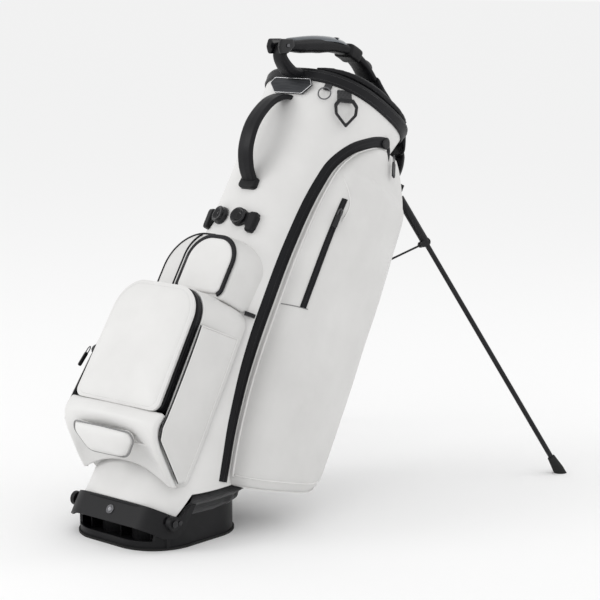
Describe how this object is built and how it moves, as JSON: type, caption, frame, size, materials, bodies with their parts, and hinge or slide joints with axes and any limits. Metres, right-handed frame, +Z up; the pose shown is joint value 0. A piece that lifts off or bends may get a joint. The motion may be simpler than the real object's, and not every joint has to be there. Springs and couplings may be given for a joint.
{
  "type": "golf stand bag",
  "caption": "Stand bag for golf clubs: leaning padded tube with zipped pockets, carry handles and two fold-out legs driven by a hinged flat foot.",
  "frame": {"origin": "centre of the foot's underside, on the ground", "axes": "+Z up; the ball pocket faces -Y and the bag leans toward +Y, where the legs stand; +X is the side of the large garment pocket"},
  "size_m": [0.6842, 0.94, 0.8682],
  "materials": {
    "moulded_black": "moulded nylon and ABS, fine texture",
    "sole_rubber": "matt rubber",
    "white_leather": "smooth coated synthetic leather with a faint grain",
    "black_leather": "soft synthetic leather over foam",
    "black_fabric": "woven nylon",
    "zip_black": "coated coil zipper tape with moulded pullers",
    "gunmetal": "polished gun-metal plate",
    "handle_insert": "glossy slate-grey moulding",
    "steel_dark": "black coated steel"
  },
  "bodies": {
    "foot": {"foot_base": "moulded_black", "foot_sole": "sole_rubber", "foot_ribs": "moulded_black"},
    "bag": {"base_cup": "moulded_black", "base_emblem": "gunmetal", "base_bellows": "black_fabric", "hinge_pins": "steel_dark", "hinge_screws": "steel_dark", "body_shell": "white_leather", "spine_stays": "steel_dark", "club_divider": "moulded_black", "divider_sleeves": "black_fabric", "top_collar": "moulded_black", "collar_pad": "black_leather", "carry_handle": "black_leather", "handle_plate": "gunmetal", "handle_boot": "moulded_black", "lift_handle": "black_leather", "lift_insert": "handle_insert", "strap_keeper": "moulded_black", "strap_yoke": "black_leather", "shoulder_straps": "black_leather", "strap_webbing": "black_fabric", "strap_buckles": "moulded_black", "hip_pad": "white_leather", "docks": "moulded_black", "pen_clip": "moulded_black", "ring_tabs": "black_fabric", "ball_pocket": "white_leather", "ball_zip": "zip_black", "ball_slider": "zip_black", "slip_pockets": "white_leather", "valuables_pocket": "white_leather", "garment_tray_right": "white_leather", "garment_zip_right": "zip_black", "garment_tray_left": "white_leather", "garment_zip_left": "zip_black", "leg_bracket": "moulded_black", "hip_pins": "steel_dark", "rod_guides": "moulded_black"},
    "rods": {"actuator_rods": "steel_dark"},
    "right_leg": {"leg_right": "moulded_black", "leg_foot_right": "sole_rubber"},
    "right_link": {"link_right": "steel_dark"},
    "left_leg": {"leg_left": "moulded_black", "leg_foot_left": "sole_rubber"},
    "left_link": {"link_left": "steel_dark"},
    "pocket_door": {"ball_door": "white_leather"},
    "pocket_pull": {"ball_pull": "zip_black"},
    "small_door": {"valuables_door": "white_leather"},
    "small_pull": {"valuables_pull": "zip_black"},
    "right_flap": {"garment_flap_right": "white_leather", "short_zip": "zip_black"},
    "right_pull": {"garment_pull_right": "zip_black"},
    "slider": {"short_slider": "zip_black"},
    "slider_pull": {"short_pull": "zip_black"},
    "left_flap": {"garment_flap_left": "white_leather"},
    "left_pull": {"garment_pull_left": "zip_black"},
    "ring": {"carry_ring": "moulded_black"},
    "dee": {"dee_ring": "gunmetal"}
  },
  "joints": [
    {"name": "base_tilt", "type": "hinge", "parent": "foot", "child": "bag", "pos_m": [0, -0.08, 0.05], "axis": [1, 0, 0], "range_deg": [0, 32], "deforming": ["base_bellows"]},
    {"name": "rod_slide", "type": "slide", "parent": "bag", "child": "rods", "axis": [0, -0.5299, -0.848], "range_m": [0, 0.09963]},
    {"name": "right_leg_fold", "type": "hinge", "parent": "bag", "child": "right_leg", "pos_m": [0.1, 0.55327, 0.57404], "axis": [-0.9135, 0.3449, -0.2155], "range_deg": [0, 58]},
    {"name": "left_leg_fold", "type": "hinge", "parent": "bag", "child": "left_leg", "pos_m": [-0.1, 0.55327, 0.57404], "axis": [-0.9135, -0.3449, 0.2155], "range_deg": [0, 58]},
    {"name": "right_link_swing", "type": "hinge", "parent": "right_leg", "child": "right_link", "pos_m": [0.13945, 0.59067, 0.46668], "axis": [0.9135, -0.3449, 0.2155], "range_deg": [0, 90.94]},
    {"name": "left_link_swing", "type": "hinge", "parent": "left_leg", "child": "left_link", "pos_m": [-0.13945, 0.59067, 0.46668], "axis": [0.9135, 0.3449, -0.2155], "range_deg": [0, 90.94]},
    {"name": "pocket_door_open", "type": "hinge", "parent": "bag", "child": "pocket_door", "pos_m": [0, -0.10846, 0.2529], "axis": [1, 0, 0], "range_deg": [0, 80]},
    {"name": "pocket_pull_swing", "type": "hinge", "parent": "bag", "child": "pocket_pull", "pos_m": [-0.119, -0.04561, 0.32329], "axis": [0, 0.848, -0.5299], "range_deg": [0, 90]},
    {"name": "small_door_open", "type": "hinge", "parent": "bag", "child": "small_door", "pos_m": [0, 0.08709, 0.43376], "axis": [1, 0, 0], "range_deg": [0, 75]},
    {"name": "small_pull_swing", "type": "hinge", "parent": "bag", "child": "small_pull", "pos_m": [-0.034, 0.12109, 0.47855], "axis": [-1, 0, 0], "range_deg": [0, 90]},
    {"name": "right_flap_open", "type": "hinge", "parent": "bag", "child": "right_flap", "pos_m": [0.118, 0.35614, 0.24913], "axis": [0, 0.5299, 0.848], "range_deg": [0, 40]},
    {"name": "left_flap_open", "type": "hinge", "parent": "bag", "child": "left_flap", "pos_m": [-0.118, 0.35614, 0.24913], "axis": [0, -0.5299, -0.848], "range_deg": [0, 40]},
    {"name": "right_pull_swing", "type": "hinge", "parent": "right_flap", "child": "right_pull", "pos_m": [0.13741, 0.50633, 0.64451], "axis": [-0.0284, -0.8122, 0.5827], "range_deg": [0, 60]},
    {"name": "left_pull_swing", "type": "hinge", "parent": "left_flap", "child": "left_pull", "pos_m": [-0.12301, 0.5199, 0.63603], "axis": [-0.0284, 0.8122, -0.5827], "range_deg": [0, 60]},
    {"name": "slider_travel", "type": "slide", "parent": "right_flap", "child": "slider", "axis": [0.0467, -0.5666, -0.8227], "range_m": [0, 0.15]},
    {"name": "slider_pull_swing", "type": "hinge", "parent": "slider", "child": "slider_pull", "pos_m": [0.1697, 0.31065, 0.5628], "axis": [-0.7553, -0.5591, 0.3421], "range_deg": [0, 90]},
    {"name": "ring_swing", "type": "hinge", "parent": "bag", "child": "ring", "pos_m": [0.11204, 0.39258, 0.75477], "axis": [-0.5322, -0.838, 0.1203], "range_deg": [0, 80]},
    {"name": "dee_swing", "type": "hinge", "parent": "bag", "child": "dee", "pos_m": [0.0789, 0.37534, 0.7772], "axis": [-0.891, -0.385, 0.2406], "range_deg": [0, 80]}
  ],
  "couplings": [
    {"joint": "rod_slide", "follows": "base_tilt", "m_per_rad": 0.17838},
    {"joint": "right_leg_fold", "follows": "base_tilt", "ratio": 1.8125},
    {"joint": "left_leg_fold", "follows": "base_tilt", "ratio": 1.8125},
    {"joint": "right_link_swing", "follows": "base_tilt", "ratio": 2.8418},
    {"joint": "left_link_swing", "follows": "base_tilt", "ratio": 2.8418}
  ]
}
